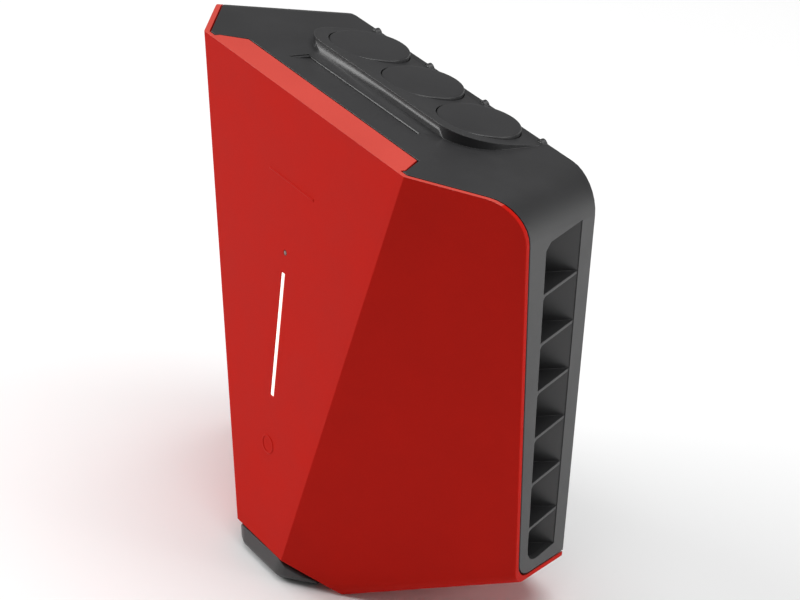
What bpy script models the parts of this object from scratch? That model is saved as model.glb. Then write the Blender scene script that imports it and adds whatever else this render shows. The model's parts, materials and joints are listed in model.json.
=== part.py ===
"""Wall-hung solid-state storage unit: a red faceted cover over a dark housing, with three plugs on top.

Metres, +Z up. X runs across the unit, the wall is the plane y = 0 and the front faces -Y.
All shapes are written with z = 0 at the rear bottom edge. The empty "frame_origin" then drops them by half
the height of the rear face, so that the finished part has its origin at the middle of that face.
"""

from math import atan2, cos, degrees, hypot, pi, radians, sin, tan

import bmesh
import bpy
from mathutils import Matrix, Vector

MM = 0.001

# Overall form: each side leans out towards the front, and a little towards the top
HALF_WIDTH = 82.1 * MM
BACK_HEIGHT = 178.6 * MM
SIDE_SPREAD = 0.3657
SIDE_LEAN = 0.0372
TOP_SLOPE = radians(9.52)
CORNER_R = 13.9 * MM
FACET_TOP = Vector((64.6, -67.3, 189.9)) * MM
FACET_BOTTOM = Vector((15.5, -84.2, 10.2)) * MM
FACET_SIDE = Vector((96.9, -40.6, 178.5)) * MM
KEEL_HALF = 33 * MM
KEEL_SLOPE = radians(23.2)
NOSE_CUT_REAR = Vector((0, -69.2, 0)) * MM
NOSE_FLOOR_Z = 0.6 * MM

# Walls and gaps
COVER_WALL = 1.8 * MM
COVER_GAP = 0.6 * MM
HOUSING_WALL = 2.4 * MM
FRONT_WALL = 2.2 * MM
FIT_GAP = 0.3 * MM
CHIN_INSET = 0.7 * MM

# Cover tab and the thumb groove behind it
TAB_HALF = 54 * MM
TAB_REAR_Y = -55 * MM
TAB_FLOOR_Z = 185.6 * MM
TAB_END_SLANT = 6 * MM
TAB_SHOULDER_Y = -63.6 * MM
TAB_FRONT_Y = -80 * MM
CAVITY_CEILING = 182.4 * MM
GROOVE_HALF = 35 * MM
GROOVE_REAR_Y = -40.2 * MM
GROOVE_FRONT_Y = -48.5 * MM
GROOVE_DEPTH = 0.8 * MM

# Port deck and plugs
PORT_PITCH = 34.4 * MM
PORT_TOP = Vector((0, -15.7, 184.0)) * MM
PORT_TILT = radians(11.4)
DECK_SLOPE = radians(17)
DECK_REAR_Z = BACK_HEIGHT - 0.4 * MM
DECK_FRONT_Y = -34.9 * MM
DECK_REAR_Y = -0.6 * MM
DECK_HALF = 53.8 * MM
DECK_CORNER_R = 16 * MM
PLUG_R = 15.0 * MM
PLUG_T = 3.5 * MM
PLUG_DOME = 0.3 * MM
SEAT_R = 15.35 * MM
SEAT_DEPTH = 5.2 * MM
BORE_R = 11.6 * MM
WELL_R = 17.8 * MM
WELL_DEPTH = 11 * MM
COLLAR_R = 10.9 * MM
COLLAR_DEPTH = 8.8 * MM
BUMP_R = 2.2 * MM

# Side vents: front and rear edges as (y, z) at the foot and at the head of the window
VENT_FRONT = (Vector((-23.2, 28.4)) * MM, Vector((-28.0, 166.0)) * MM)
VENT_REAR = (Vector((-6.6, 28.4)) * MM, Vector((-7.6, 166.0)) * MM)
VENT_CORNER_R = 7 * MM
VENT_CHAMFER = 2.5 * MM
BAFFLE_DEPTH = 17.5 * MM
BAFFLE_WALL = 2.2 * MM
GRILLE_INNER_X = 58 * MM
GRILLE_RIM = 0.7 * MM
RIB_T = 1.4 * MM
RIB_TOP_Z = 145.9 * MM
RIB_PITCH = 20.1 * MM
RIBS = 6

# Rear
PLATE_T = 2.5 * MM
SEAL_T = 0.9 * MM
FRAME_DEPTH = 6.0 * MM
REBATE_DEPTH = 4.0 * MM
REBATE = (70 * MM, 24 * MM, 172 * MM, 4 * MM)
REAR_OPENING = (58 * MM, 38 * MM, 158 * MM, 6 * MM)
SEAL_OUTER = (62.3 * MM, 33.5 * MM, 162.5 * MM, 5 * MM)
SEAL_INNER = (59.5 * MM, 36.5 * MM, 159.5 * MM, 3 * MM)
REAR_SCREWS = [(sx * 66 * MM, z * MM) for z in (29, 167) for sx in (-1, 1)]

# Light bar
LIGHT_TOP_Z = 123.0 * MM
LIGHT_BOTTOM_Z = 73.2 * MM
LIGHT_W = 1.6 * MM
LENS_Z = 131.2 * MM
LENS_R = 0.8 * MM
LIGHT_DEPTH = 6.2 * MM

# Electronics
BOARD = Vector((100, 1.6, 120)) * MM
BOARD_REAR_Y = -10 * MM
BOARD_Z = 97 * MM
BOARD_FRONT_Y = BOARD_REAR_Y - BOARD.y
COOL_Z = 97 * MM
STANDOFFS = [(sx * 46 * MM, z * MM) for z in (43, 151) for sx in (-1, 1)]
CAPACITOR_Z = 50 * MM
CONNECTOR_Z = 136.5 * MM
SINK = Vector((90, 0, 66)) * MM
SINK_BASE = 4 * MM
SINK_FINS = 13
FIN_T = 1.2 * MM
FIN_H = 16 * MM
FAN_SIZE = 60 * MM
FAN_T = 15 * MM
FAN_R = 28.5 * MM
FAN_HEAD_T = 1.4 * MM
HUB_R = 12 * MM
BLADES = 7

CENTRE_DIR = FACET_BOTTOM - FACET_TOP


def clear_scene():
    for item in list(bpy.data.objects):
        bpy.data.objects.remove(item, do_unlink=True)
    for group in list(bpy.data.collections):
        bpy.data.collections.remove(group)


clear_scene()
PART = bpy.data.collections.new("storage_unit")
CUTTERS = bpy.data.collections.new("cutters")
bpy.context.scene.collection.children.link(PART)
bpy.context.scene.collection.children.link(CUTTERS)
ORIGIN = bpy.data.objects.new("frame_origin", None)
ORIGIN.location = (0, 0, -BACK_HEIGHT / 2)
PART.objects.link(ORIGIN)


def material(name, color, roughness, metallic=0.0, emission=0.0):
    made = bpy.data.materials.new(name)
    made.use_nodes = True
    shader = made.node_tree.nodes["Principled BSDF"]
    shader.inputs["Base Color"].default_value = (*color, 1)
    shader.inputs["Roughness"].default_value = roughness
    shader.inputs["Metallic"].default_value = metallic
    shader.inputs["Emission Color"].default_value = (*color, 1)
    shader.inputs["Emission Strength"].default_value = emission
    made.diffuse_color = (*color, 1)
    return made


RED = material("red_plastic", (0.55, 0.03, 0.02), 0.45)
BLACK = material("dark_plastic", (0.07, 0.07, 0.07), 0.55)
RUBBER = material("seal_rubber", (0.02, 0.02, 0.02), 0.8)
LIGHT = material("light_plastic", (1.0, 0.95, 0.88), 0.3, emission=2.0)
BOARD_GREEN = material("board_laminate", (0.02, 0.12, 0.05), 0.5)
CHIP = material("chip_epoxy", (0.03, 0.03, 0.035), 0.5)
PAD = material("thermal_silicone", (0.45, 0.5, 0.6), 0.8)
ALUMINIUM = material("aluminium", (0.75, 0.76, 0.78), 0.35, metallic=1.0)
STEEL = material("zinc_steel", (0.6, 0.6, 0.6), 0.35, metallic=1.0)
BRASS = material("brass", (0.75, 0.55, 0.25), 0.35, metallic=1.0)
WHITE = material("connector_plastic", (0.8, 0.78, 0.7), 0.5)


# Building blocks


def add_object(name, bm, surface=None, smooth=False):
    """A named object from a bmesh: a piece when it has a surface, a hidden cutter when it has none."""
    bmesh.ops.recalc_face_normals(bm, faces=bm.faces)
    mesh = bpy.data.meshes.new(name)
    bm.to_mesh(mesh)
    bm.free()
    made = bpy.data.objects.new(name, mesh)
    made.parent = ORIGIN
    if surface:
        PART.objects.link(made)
        mesh.materials.append(surface)
    else:
        CUTTERS.objects.link(made)
        made.hide_render = True
        made.display_type = "WIRE"
    if smooth:
        mesh.shade_smooth()
        mesh.set_sharp_from_angle(angle=radians(35))
    return made


def apply_boolean(target, tool, operation):
    """Adds a Boolean to target that works with the object tool."""
    modifier = target.modifiers.new(f"{operation.lower()}_{tool.name}", "BOOLEAN")
    modifier.operation = operation
    modifier.object = tool
    modifier.solver = "EXACT"


def cut(target, *tools):
    for tool in tools:
        apply_boolean(target, tool, "DIFFERENCE")


def join(target, *tools):
    for tool in tools:
        apply_boolean(target, tool, "UNION")


def box_mesh(low, high):
    bm = bmesh.new()
    bmesh.ops.create_cube(bm, size=1)
    low, high = Vector(low), Vector(high)
    bmesh.ops.scale(bm, vec=high - low, verts=bm.verts)
    bmesh.ops.translate(bm, vec=(low + high) / 2, verts=bm.verts)
    return bm


def cylinder_mesh(radius, start, end, segments=32):
    """A cylinder from the point start to the point end."""
    start, end = Vector(start), Vector(end)
    along = end - start
    bm = bmesh.new()
    bmesh.ops.create_cone(
        bm, cap_ends=True, segments=segments, radius1=radius, radius2=radius, depth=along.length
    )
    turn = Vector((0, 0, 1)).rotation_difference(along).to_matrix().to_4x4()
    bmesh.ops.transform(bm, matrix=Matrix.Translation((start + end) / 2) @ turn, verts=bm.verts)
    return bm


def prism_mesh(outline, along):
    """A flat outline, a list of points, swept by the vector along."""
    bm = bmesh.new()
    face = bm.faces.new([bm.verts.new(point) for point in outline])
    swept = bmesh.ops.extrude_face_region(bm, geom=[face])["geom"]
    moved = [item for item in swept if isinstance(item, bmesh.types.BMVert)]
    bmesh.ops.translate(bm, vec=along, verts=moved)
    return bm


def close_loft(bm, first, last):
    """Side faces between two rings of vertices, and a face on each ring."""
    bm.faces.new(first)
    bm.faces.new(last)
    for i in range(len(first)):
        j = (i + 1) % len(first)
        bm.faces.new((first[i], first[j], last[j], last[i]))


def loft_mesh(lower, upper):
    """A solid between two outlines with the same number of points."""
    bm = bmesh.new()
    close_loft(bm, [bm.verts.new(p) for p in lower], [bm.verts.new(p) for p in upper])
    bmesh.ops.triangulate(bm, faces=bm.faces)
    return bm


def slice_off(bm, point, outward):
    """Removes what lies beyond a plane and closes the cut of a convex solid."""
    geometry = list(bm.verts) + list(bm.edges) + list(bm.faces)
    result = bmesh.ops.bisect_plane(
        bm, geom=geometry, plane_co=point, plane_no=outward, clear_outer=True, dist=1e-7
    )
    rim = [item for item in result["geom_cut"] if isinstance(item, bmesh.types.BMEdge)]
    if rim:
        bmesh.ops.contextual_create(bm, geom=rim)


def arc(centre, radius, start, end, steps):
    """Points (u, v) along an arc, angles in degrees."""
    angles = [radians(start + (end - start) * i / steps) for i in range(steps + 1)]
    return [(centre[0] + radius * cos(a), centre[1] + radius * sin(a)) for a in angles]


def rounded_outline(half, low, high, radius, y, steps=5):
    """A rounded rectangle in the plane of the given y, as wide as half each side of x = 0."""
    flat = []
    for u, v, start in (
        (half - radius, low + radius, -90),
        (half - radius, high - radius, 0),
        (radius - half, high - radius, 90),
        (radius - half, low + radius, 180),
    ):
        flat += arc((u, v), radius, start, start + 90, steps)
    return [Vector((u, y, v)) for u, v in flat]


def turned(name, profile, surface, place, segments=32):
    """A round piece from (radius, height) points, outer side first and top to bottom, turned about Z."""
    bm = bmesh.new()
    points = [bm.verts.new((radius, 0, height)) for radius, height in profile]
    for first, second in zip(points, points[1:]):
        bm.edges.new((first, second))
    if profile[0][0] > 0:
        bm.edges.new((points[-1], points[0]))
    mesh = bpy.data.meshes.new(name)
    bm.to_mesh(mesh)
    bm.free()
    mesh.materials.append(surface)
    made = bpy.data.objects.new(name, mesh)
    PART.objects.link(made)
    screw = made.modifiers.new("turn", "SCREW")
    screw.steps = screw.render_steps = segments
    screw.use_merge_vertices = True
    screw.merge_threshold = 0.00001
    made.parent = ORIGIN
    made.matrix_local = place
    mesh.shade_smooth()
    return made


# The outer form


def mirrored(vector, side):
    return Vector((vector.x * side, vector.y, vector.z))


def facet_plane(offset, side):
    """Point and outward normal of one side facet, moved inwards by offset."""
    normal = (FACET_SIDE - FACET_TOP).cross(CENTRE_DIR).normalized()
    if normal.y > 0:
        normal.negate()
    return mirrored(FACET_TOP - normal * offset, side), mirrored(normal, side)


def centre_plane(offset):
    normal = Vector((0, CENTRE_DIR.z, -CENTRE_DIR.y)).normalized()
    return FACET_TOP - normal * offset, normal


def bottom_planes(offset):
    """The flat keel strip and the two slopes beside it."""
    planes = [(Vector((0, 0, offset)), Vector((0, 0, -1)))]
    normal = Vector((sin(KEEL_SLOPE), 0, -cos(KEEL_SLOPE)))
    point = Vector((KEEL_HALF, 0, 0)) - normal * offset
    return planes + [(mirrored(point, side), mirrored(normal, side)) for side in (1, -1)]


def nose_plane(offset):
    """The slanted lower edge of the cover at its nose, moved inwards by offset."""
    run = NOSE_CUT_REAR - Vector((0, FACET_BOTTOM.y, FACET_BOTTOM.z))
    normal = Vector((0, run.z, -run.y)).normalized()
    return NOSE_CUT_REAR - normal * offset, normal


def deck_plane(offset):
    normal = Vector((0, sin(DECK_SLOPE), cos(DECK_SLOPE)))
    return Vector((0, 0, DECK_REAR_Z)) - normal * offset, normal


def front_planes(offset):
    return [centre_plane(offset), facet_plane(offset, 1), facet_plane(offset, -1)] + bottom_planes(offset)


def top_z(y):
    return BACK_HEIGHT - y * tan(TOP_SLOPE)


def centre_y(z):
    """Where the centre facet is at the height z."""
    return FACET_TOP.y + (z - FACET_TOP.z) * CENTRE_DIR.y / CENTRE_DIR.z


def side_x(y, z):
    """Where the right side is."""
    return HALF_WIDTH - SIDE_SPREAD * y - SIDE_LEAN * (BACK_HEIGHT - z)


def envelope(inset, planes, arc_steps=8):
    """The rounded-top body, inset all round, with each given plane cut away."""
    rise = tan(TOP_SLOPE)
    radius = CORNER_R - inset
    top = BACK_HEIGHT - inset / cos(TOP_SLOPE)
    low = -60 * MM
    centre_x = side_x(0, top - radius) - inset - radius
    lean = degrees(atan2(SIDE_LEAN, 1))
    right = [(side_x(0, low) - inset, low)]
    right += arc((centre_x, top - radius), radius, -lean, 90, arc_steps)
    outline = [Vector((u, 0, v)) for u, v in right]
    outline += [Vector((-u, 0, v)) for u, v in reversed(right)]
    bm = bmesh.new()
    rings = []
    for depth in (-20 * MM, 130 * MM):
        out = (SIDE_SPREAD + SIDE_LEAN * rise) * depth
        moved = [Vector((p.x + (out if p.x > 0 else -out), -depth, p.z + rise * depth)) for p in outline]
        rings.append([bm.verts.new(point) for point in moved])
    close_loft(bm, *rings)
    for point, outward in planes:
        slice_off(bm, point, outward)
    return bm


def block(planes):
    """A large block with each given plane cut away."""
    bm = box_mesh((-0.2, -0.25, -0.1), (0.2, 0.1, 0.4))
    for point, outward in planes:
        slice_off(bm, point, outward)
    return bm


def rear_plane(y):
    return Vector((0, y, 0)), Vector((0, 1, 0))


# Cover, housing and chin


def tab_outline(grow):
    """The wedge tab seen from above, with slanted ends."""
    rear = TAB_REAR_Y + grow
    half = TAB_HALF + grow
    wide = half + TAB_END_SLANT
    right = [(wide, TAB_FRONT_Y), (wide, TAB_SHOULDER_Y), (half, rear)]
    return right + [(-x, y) for x, y in reversed(right)]


def tab_block(name, grow):
    floor = TAB_FLOOR_Z - grow
    outline = [Vector((x, y, floor)) for x, y in tab_outline(grow)]
    return add_object(name, prism_mesh(outline, Vector((0, 0, 0.03))))


def light_cutters(prefix, grow):
    """Slots along Y for the light bar and the round lens."""
    half = LIGHT_W / 2 + grow
    front, rear = -100 * MM, -62 * MM
    slot = box_mesh((-half, front, LIGHT_BOTTOM_Z - grow), (half, rear, LIGHT_TOP_Z + grow))
    hole = cylinder_mesh(LENS_R + grow, (0, front, LENS_Z), (0, rear, LENS_Z), 16)
    return add_object(prefix + "_slot", slot), add_object(prefix + "_hole", hole)


def make_cover():
    outer = envelope(0, front_planes(0) + [nose_plane(COVER_GAP), rear_plane(-FIT_GAP)])
    cover = add_object("front_cover", outer, RED, smooth=True)
    core = add_object("cover_core", block(front_planes(COVER_WALL)))
    cut(core, tab_block("cover_tab_keep", 0))
    cut(cover, core, *light_cutters("cover_light", FIT_GAP))
    return cover


def port_matrix(index):
    """Placement of a port: its top centre, with +Z out along its axis."""
    place = Matrix.Translation(PORT_TOP + Vector((index * PORT_PITCH, 0, 0)))
    return place @ Matrix.Rotation(-PORT_TILT, 4, "X")


def port_cylinder(name, index, radius, top, bottom, segments=40):
    place = port_matrix(index)
    bm = cylinder_mesh(radius, place @ Vector((0, 0, bottom)), place @ Vector((0, 0, top)), segments)
    return add_object(name, bm)


def deck_wedge():
    """The raised deck: a racetrack that stands on the sloping top and fades out at the rear."""
    front = DECK_FRONT_Y
    right = arc((DECK_HALF - DECK_CORNER_R, front + DECK_CORNER_R), DECK_CORNER_R, -90, 0, 8)
    left = arc((DECK_CORNER_R - DECK_HALF, front + DECK_CORNER_R), DECK_CORNER_R, 180, 270, 8)
    flat = right + [(DECK_HALF, DECK_REAR_Y), (-DECK_HALF, DECK_REAR_Y)] + left
    bm = prism_mesh([Vector((u, v, 150 * MM)) for u, v in flat], Vector((0, 0, 100 * MM)))
    slice_off(bm, *deck_plane(0))
    inside = Vector((0, 0, BACK_HEIGHT - 1.2 * MM))
    slice_off(bm, inside, Vector((0, -sin(TOP_SLOPE), -cos(TOP_SLOPE))))
    return add_object("deck_wedge", bm)


def port_wells():
    """Round walls under the deck that carry the plugs."""
    wells = []
    for index in (-1, 0, 1):
        place = port_matrix(index)
        bm = cylinder_mesh(WELL_R, place @ Vector((0, 0, -WELL_DEPTH)), place @ Vector((0, 0, 0.02)), 40)
        slice_off(bm, *deck_plane(1.0 * MM))
        slice_off(bm, *rear_plane(-1.0 * MM))
        wells.append(add_object(f"port_well_{index + 2}", bm))
    return wells


def vent_edge(edge, z):
    """The y of one of the window's long edges at the height z."""
    foot, head = edge
    return foot.x + (head.x - foot.x) * (z - foot.y) / (head.y - foot.y)


def vent_window(side, gap=0.0, inner_x=72 * MM):
    """The side window, with its lower front corner rounded, as a cutter through the wall."""
    low, high = VENT_FRONT[0].y + gap, VENT_FRONT[1].y - gap
    radius = VENT_CORNER_R - gap
    rear = [(vent_edge(VENT_REAR, z) - gap, z) for z in (low, high)]
    front_high = vent_edge(VENT_FRONT, high) + gap
    flat = rear + [(front_high + VENT_CHAMFER, high), (front_high, high - VENT_CHAMFER)]
    front_low = vent_edge(VENT_FRONT, low + radius) + gap
    flat += arc((front_low + radius, low + radius), radius, 180, 270, 6)
    outline = [Vector((side * inner_x, y, z)) for y, z in flat]
    return prism_mesh(outline, Vector((side * (102 * MM - inner_x), 0, 0)))


def rear_frame_cutter(name, size, y_front, y_rear):
    half, low, high, radius = size
    outline = rounded_outline(half, low, high, radius, y_front)
    return add_object(name, prism_mesh(outline, Vector((0, y_rear - y_front, 0))))


def groove_cutter():
    """A shallow thumb ramp behind the tab: deepest at its rear edge, running out towards the front."""
    lift = 3 * MM
    profile = [
        (GROOVE_REAR_Y, top_z(GROOVE_REAR_Y) - GROOVE_DEPTH),
        (GROOVE_REAR_Y, top_z(GROOVE_REAR_Y) + lift),
        (GROOVE_FRONT_Y, top_z(GROOVE_FRONT_Y) + lift),
        (GROOVE_FRONT_Y, top_z(GROOVE_FRONT_Y) + 0.05 * MM),
    ]
    outline = [Vector((-GROOVE_HALF, y, z)) for y, z in profile]
    return add_object("thumb_groove", prism_mesh(outline, Vector((2 * GROOVE_HALF, 0, 0))))


def make_housing():
    skin = COVER_WALL + COVER_GAP
    outer = envelope(0, front_planes(skin) + [nose_plane(FIT_GAP), rear_plane(0)])
    housing = add_object("housing", outer, BLACK, smooth=True)
    join(housing, deck_wedge())
    ceiling = (Vector((0, 0, CAVITY_CEILING)), Vector((0, 0, 1)))
    inner_planes = front_planes(skin + FRONT_WALL) + [nose_plane(FRONT_WALL + FIT_GAP)]
    hollow = envelope(HOUSING_WALL, inner_planes + [rear_plane(-FRAME_DEPTH), ceiling])
    cut(housing, add_object("hollow", hollow))
    join(housing, *port_wells())
    for index in (-1, 0, 1):
        seat = port_cylinder(f"port_seat_{index + 2}", index, SEAT_R, 20 * MM, -SEAT_DEPTH, 48)
        bore = port_cylinder(f"port_bore_{index + 2}", index, BORE_R, 0, -WELL_DEPTH - 5 * MM)
        cut(housing, seat, bore)
    for side, word in ((1, "right"), (-1, "left")):
        cut(housing, add_object(f"vent_window_{word}", vent_window(side)))
    cut(housing, tab_block("tab_pocket", COVER_GAP), groove_cutter())
    cut(housing, rear_frame_cutter("rear_rebate", REBATE, -REBATE_DEPTH, 2 * MM))
    through = (-FRAME_DEPTH - 2 * MM, -REBATE_DEPTH + 1 * MM)
    cut(housing, rear_frame_cutter("rear_opening", REAR_OPENING, *through))
    boss_front = -FRAME_DEPTH - 6 * MM
    for number, (x, z) in enumerate(REAR_SCREWS, 1):
        boss = cylinder_mesh(3.4 * MM, (x, boss_front, z), (x, -REBATE_DEPTH - 0.5 * MM, z), 20)
        hole = cylinder_mesh(1.8 * MM, (x, boss_front + 2 * MM, z), (x, 0, z), 16)
        join(housing, add_object(f"rear_boss_{number}", boss))
        cut(housing, add_object(f"rear_boss_hole_{number}", hole))
    cut(housing, *light_cutters("housing_light", FIT_GAP))
    for number in range(4):
        x = (number - 1.5) * PORT_PITCH
        z = DECK_REAR_Z - 0.4 * MM
        bump = cylinder_mesh(BUMP_R, (x, -2.2 * MM, z), (x, -0.2 * MM, z), 16)
        join(housing, add_object(f"rear_bump_{number + 1}", bump))
    return housing


def make_chin():
    """The nose tip under the cover's lower edge."""
    floor = (Vector((0, 0, NOSE_FLOOR_Z)), Vector((0, 0, -1)))
    point, outward = nose_plane(0)
    planes = [centre_plane(CHIN_INSET), facet_plane(CHIN_INSET, 1), facet_plane(CHIN_INSET, -1), floor]
    return add_object("chin_cap", envelope(CHIN_INSET, planes + [(point, -outward)]), BLACK)


# Vent grilles


def grille_section(z):
    """Outer rear, outer front and deep front corners of the slanted baffle at the height z.

    They lie 1 mm beyond the window, which trims them.
    """
    rear = vent_edge(VENT_REAR, z) + 1 * MM
    front = vent_edge(VENT_FRONT, z) - 1 * MM
    outer = side_x(front, z)
    return (side_x(rear, z), rear), (outer, front), (outer - BAFFLE_DEPTH, front)


def make_grille(side, word):
    """One grille: a wedge that fills the window, hollowed from outside into cells by its ribs."""
    low, high = VENT_FRONT[0].y - 1 * MM, VENT_FRONT[1].y + 1 * MM

    def wedge(reach, sink):
        rings = []
        for z in (low, high):
            (rear_x, rear_y), (front_x, front_y), (deep_x, deep_y) = grille_section(z)
            ring = [(rear_x + reach, rear_y), (front_x + reach, front_y)]
            ring += [(deep_x - sink, deep_y), (rear_x - sink, rear_y)]
            rings.append([Vector((side * x, y, z)) for x, y in ring])
        return loft_mesh(*rings)

    grille = add_object(f"vent_grille_{word}", wedge(6 * MM, BAFFLE_WALL), BLACK)
    outside = add_object(f"grille_window_{word}", vent_window(side, FIT_GAP, GRILLE_INNER_X))
    apply_boolean(grille, outside, "INTERSECT")
    cells = add_object(f"grille_cells_{word}", wedge(8 * MM, 0))
    inner_window = vent_window(side, FIT_GAP + GRILLE_RIM, GRILLE_INNER_X)
    apply_boolean(cells, add_object(f"grille_rim_{word}", inner_window), "INTERSECT")
    for number in range(RIBS):
        top = RIB_TOP_Z - RIB_PITCH * number
        sides = sorted((side * 50 * MM, side * 110 * MM))
        rib = box_mesh((sides[0], -40 * MM, top - RIB_T), (sides[1], 0, top))
        cut(cells, add_object(f"rib_{word}_{number + 1}", rib))
    cut(grille, cells)
    apply_boolean(grille, add_object(f"grille_skin_{word}", envelope(0, [])), "INTERSECT")
    return grille


# Ports


def make_ports():
    rim = 0.5 * MM
    plug_profile = [
        (0, PLUG_DOME),
        (PLUG_R * 0.7, PLUG_DOME * 0.5),
        (PLUG_R - rim, 0),
        (PLUG_R, -rim),
        (PLUG_R, -PLUG_T),
        (COLLAR_R, -PLUG_T),
        (COLLAR_R, -COLLAR_DEPTH),
        (COLLAR_R - 1.4 * MM, -COLLAR_DEPTH),
        (COLLAR_R - 1.4 * MM, -PLUG_T + 1.2 * MM),
        (0, -PLUG_T + 1.2 * MM),
    ]
    seal_top, seal_bottom = -PLUG_T - FIT_GAP, -SEAT_DEPTH + FIT_GAP
    outer, inner = 14.6 * MM, 12.2 * MM
    seal_profile = [(outer, seal_top), (outer, seal_bottom), (inner, seal_bottom), (inner, seal_top)]
    socket_profile = [
        (0, -10.5 * MM),
        (5.5 * MM, -10.5 * MM),
        (5.5 * MM, -9.6 * MM),
        (8.5 * MM, -9.6 * MM),
        (8.5 * MM, -13.1 * MM),
        (11 * MM, -13.1 * MM),
        (11 * MM, -15.1 * MM),
        (7 * MM, -15.1 * MM),
        (7 * MM, -24 * MM),
        (0, -24 * MM),
    ]
    for index in (-1, 0, 1):
        place = port_matrix(index)
        turned(f"port_plug_{index + 2}", plug_profile, BLACK, place, 40)
        turned(f"plug_seal_{index + 2}", seal_profile, RUBBER, place, 28)
        turned(f"port_socket_{index + 2}", socket_profile, STEEL, place, 24)
    plate = box_mesh((-48 * MM, -17 * MM, -12.8 * MM), (48 * MM, 10.5 * MM, -11.3 * MM))
    bmesh.ops.transform(plate, matrix=port_matrix(0), verts=plate.verts)
    bracket = add_object("port_bracket", plate, STEEL)
    for index in (-1, 0, 1):
        cut(bracket, port_cylinder(f"bracket_hole_{index + 2}", index, 8.8 * MM, 0, -20 * MM, 24))


# Rear plate, seal and screws


def screw_mesh(head_r, head_t, shank_r, length):
    """A pan-head screw along +Y: the head's face is at y = 0 and the shank runs to -Y."""
    bm = cylinder_mesh(head_r, (0, -head_t, 0), (0, 0, 0), 16)
    shank = cylinder_mesh(shank_r, (0, -length, 0), (0, -head_t / 2, 0), 12)
    return bm, shank


def make_screw(name, sizes, location, forward=False):
    """A screw whose head faces +Y, or -Y when it points forward."""
    head, shank = screw_mesh(*sizes)
    if forward:
        turn = Matrix.Rotation(pi, 4, "Z")
        bmesh.ops.transform(head, matrix=turn, verts=head.verts)
        bmesh.ops.transform(shank, matrix=turn, verts=shank.verts)
    screw = add_object(name, head, STEEL, smooth=True)
    tool = add_object(name + "_shank", shank)
    screw.location = tool.location = location
    join(screw, tool)
    return screw


def make_rear():
    half, low, high, radius = REBATE
    gap = FIT_GAP
    outline = rounded_outline(half - gap, low + gap, high - gap, radius, -PLATE_T)
    plate = add_object("back_plate", prism_mesh(outline, Vector((0, PLATE_T, 0))), BLACK)
    ring = rounded_outline(*SEAL_OUTER, -PLATE_T - gap - SEAL_T)
    seal = add_object("back_seal", prism_mesh(ring, Vector((0, SEAL_T, 0))), RUBBER)
    cut(seal, rear_frame_cutter("seal_inner", SEAL_INNER, -8 * MM, 2 * MM))
    for number, (x, z) in enumerate(REAR_SCREWS, 1):
        pocket = cylinder_mesh(3.5 * MM, (x, -1.8 * MM, z), (x, 2 * MM, z), 20)
        hole = cylinder_mesh(1.8 * MM, (x, -6 * MM, z), (x, 0, z), 16)
        cut(plate, add_object(f"plate_pocket_{number}", pocket))
        cut(plate, add_object(f"plate_hole_{number}", hole))
        make_screw(f"back_screw_{number}", (3.1 * MM, 1.2 * MM, 1.5 * MM, 9 * MM), (x, -gap, z))


# Electronics


def make_chip(name, centre_x, centre_z, width, height, thick):
    rear = BOARD_FRONT_Y - FIT_GAP
    low = (centre_x - width / 2, rear - thick, centre_z - height / 2)
    high = (centre_x + width / 2, rear, centre_z + height / 2)
    return add_object(name, box_mesh(low, high), CHIP)


def make_board():
    half = BOARD / 2
    low = (-half.x, BOARD_FRONT_Y, BOARD_Z - half.z)
    high = (half.x, BOARD_REAR_Y, BOARD_Z + half.z)
    board = add_object("main_board", box_mesh(low, high), BOARD_GREEN)
    for number, (x, z) in enumerate(STANDOFFS, 1):
        hole = cylinder_mesh(1.8 * MM, (x, -0.02, z), (x, 0, z), 16)
        cut(board, add_object(f"board_hole_{number}", hole))
        post = cylinder_mesh(3 * MM, (x, BOARD_REAR_Y + FIT_GAP, z), (x, -PLATE_T - FIT_GAP, z), 6)
        standoff = add_object(f"standoff_{number}", post, BRASS)
        bore = cylinder_mesh(1.6 * MM, (x, -0.02, z), (x, 0, z), 12)
        cut(standoff, add_object(f"standoff_bore_{number}", bore))
        place = (x, BOARD_FRONT_Y - FIT_GAP - 1.4 * MM, z)
        make_screw(f"board_screw_{number}", (2.8 * MM, 1.4 * MM, 1.25 * MM, 7 * MM), place, forward=True)
    chip_t = 1.4 * MM
    make_chip("controller_chip", 0, COOL_Z, 20 * MM, 20 * MM, chip_t)
    make_chip("dram_chip", 0, COOL_Z + 22 * MM, 12 * MM, 9 * MM, chip_t)
    for number, (sx, sz) in enumerate(((-1, -1), (1, -1), (-1, 1), (1, 1)), 1):
        make_chip(f"nand_chip_{number}", sx * 28 * MM, COOL_Z + sz * 13 * MM, 14 * MM, 18 * MM, chip_t)
    rear = BOARD_FRONT_Y - FIT_GAP
    for number in (1, 2, 3):
        base = Vector(((number - 2) * 18 * MM, rear, CAPACITOR_Z))
        can = cylinder_mesh(6 * MM, base - Vector((0, 16 * MM, 0)), base, 20)
        add_object(f"hold_up_capacitor_{number}", can, ALUMINIUM, smooth=True)
    half_height = Vector((0, 0, 3.5 * MM))
    middle = Vector((0, rear, CONNECTOR_Z))
    low = middle - half_height - Vector((24 * MM, 8 * MM, 0))
    connector = box_mesh(low, middle + half_height + Vector((24 * MM, 0, 0)))
    add_object("board_connector", connector, WHITE)
    return rear - chip_t


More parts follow.
